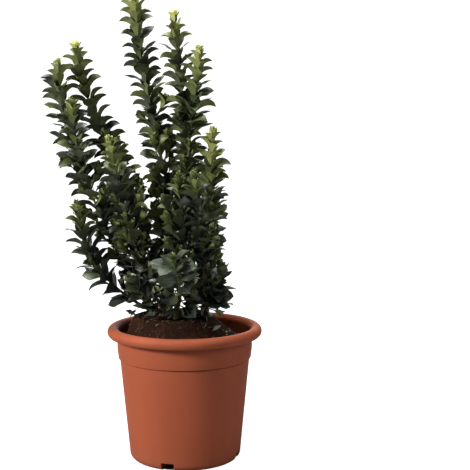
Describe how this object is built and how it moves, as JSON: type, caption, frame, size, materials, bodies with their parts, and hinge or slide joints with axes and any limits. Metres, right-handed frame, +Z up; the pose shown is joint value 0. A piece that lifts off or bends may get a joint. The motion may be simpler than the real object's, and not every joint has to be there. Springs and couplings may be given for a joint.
{
  "type": "potted japanese spindle",
  "caption": "Upright evergreen japanese spindle in a round terracotta-coloured nursery pot: leaning leafy spires of small glossy toothed leaves above a low mound of dark soil.",
  "frame": {"origin": "middle of the pot's flat underside, on the ground", "axes": "+Z up, -Y towards the viewer of the picture, +X to the right in the picture"},
  "size_m": [0.2777, 0.2152, 0.6008],
  "materials": {
    "pot": "terracotta-coloured polypropylene, soft satin",
    "soil": "dark damp potting compost",
    "bark": "grey-brown bark",
    "leaves_dark": "glossy dark green leaves",
    "leaves_green": "glossy green leaves",
    "leaves_light": "glossy light green young leaves"
  },
  "bodies": {
    "root": {"pot": "pot", "soil": "soil", "stem_west": "bark", "stem_middle": "bark", "stem_front": "bark", "stem_back": "bark", "stem_centre": "bark", "stem_back_east": "bark", "stem_east": "bark", "bough_spire_west": "bark", "bough_spire_gold": "bark", "bough_spire_pale": "bark", "bough_spire_low_west": "bark", "bough_spire_tall": "bark", "bough_spire_centre": "bark", "bough_spire_east": "bark", "bough_spire_front_east": "bark", "bough_spire_front": "bark", "bough_spire_back_west": "bark", "bough_spire_back": "bark", "bough_spire_mid_back": "bark", "bough_spire_back_east": "bark", "bough_spire_low_back": "bark", "bough_spire_low_east": "bark", "spire_west": "leaves_green", "spire_gold": "leaves_light", "spire_pale": "leaves_light", "spire_low_west": "leaves_dark", "spire_tall": "leaves_green", "spire_centre": "leaves_green", "spire_east": "leaves_light", "spire_front_east": "leaves_green", "spire_front": "leaves_dark", "sprig_front": "leaves_light", "sprig_east": "leaves_dark", "spire_back_west": "leaves_dark", "spire_back": "leaves_green", "spire_mid_back": "leaves_green", "spire_back_east": "leaves_green", "spire_low_back": "leaves_dark", "spire_low_east": "leaves_dark", "skirt_front_west": "leaves_dark", "skirt_back_west": "leaves_dark", "skirt_front_east": "leaves_dark", "skirt_back_east": "leaves_dark"}
  },
  "joints": []
}
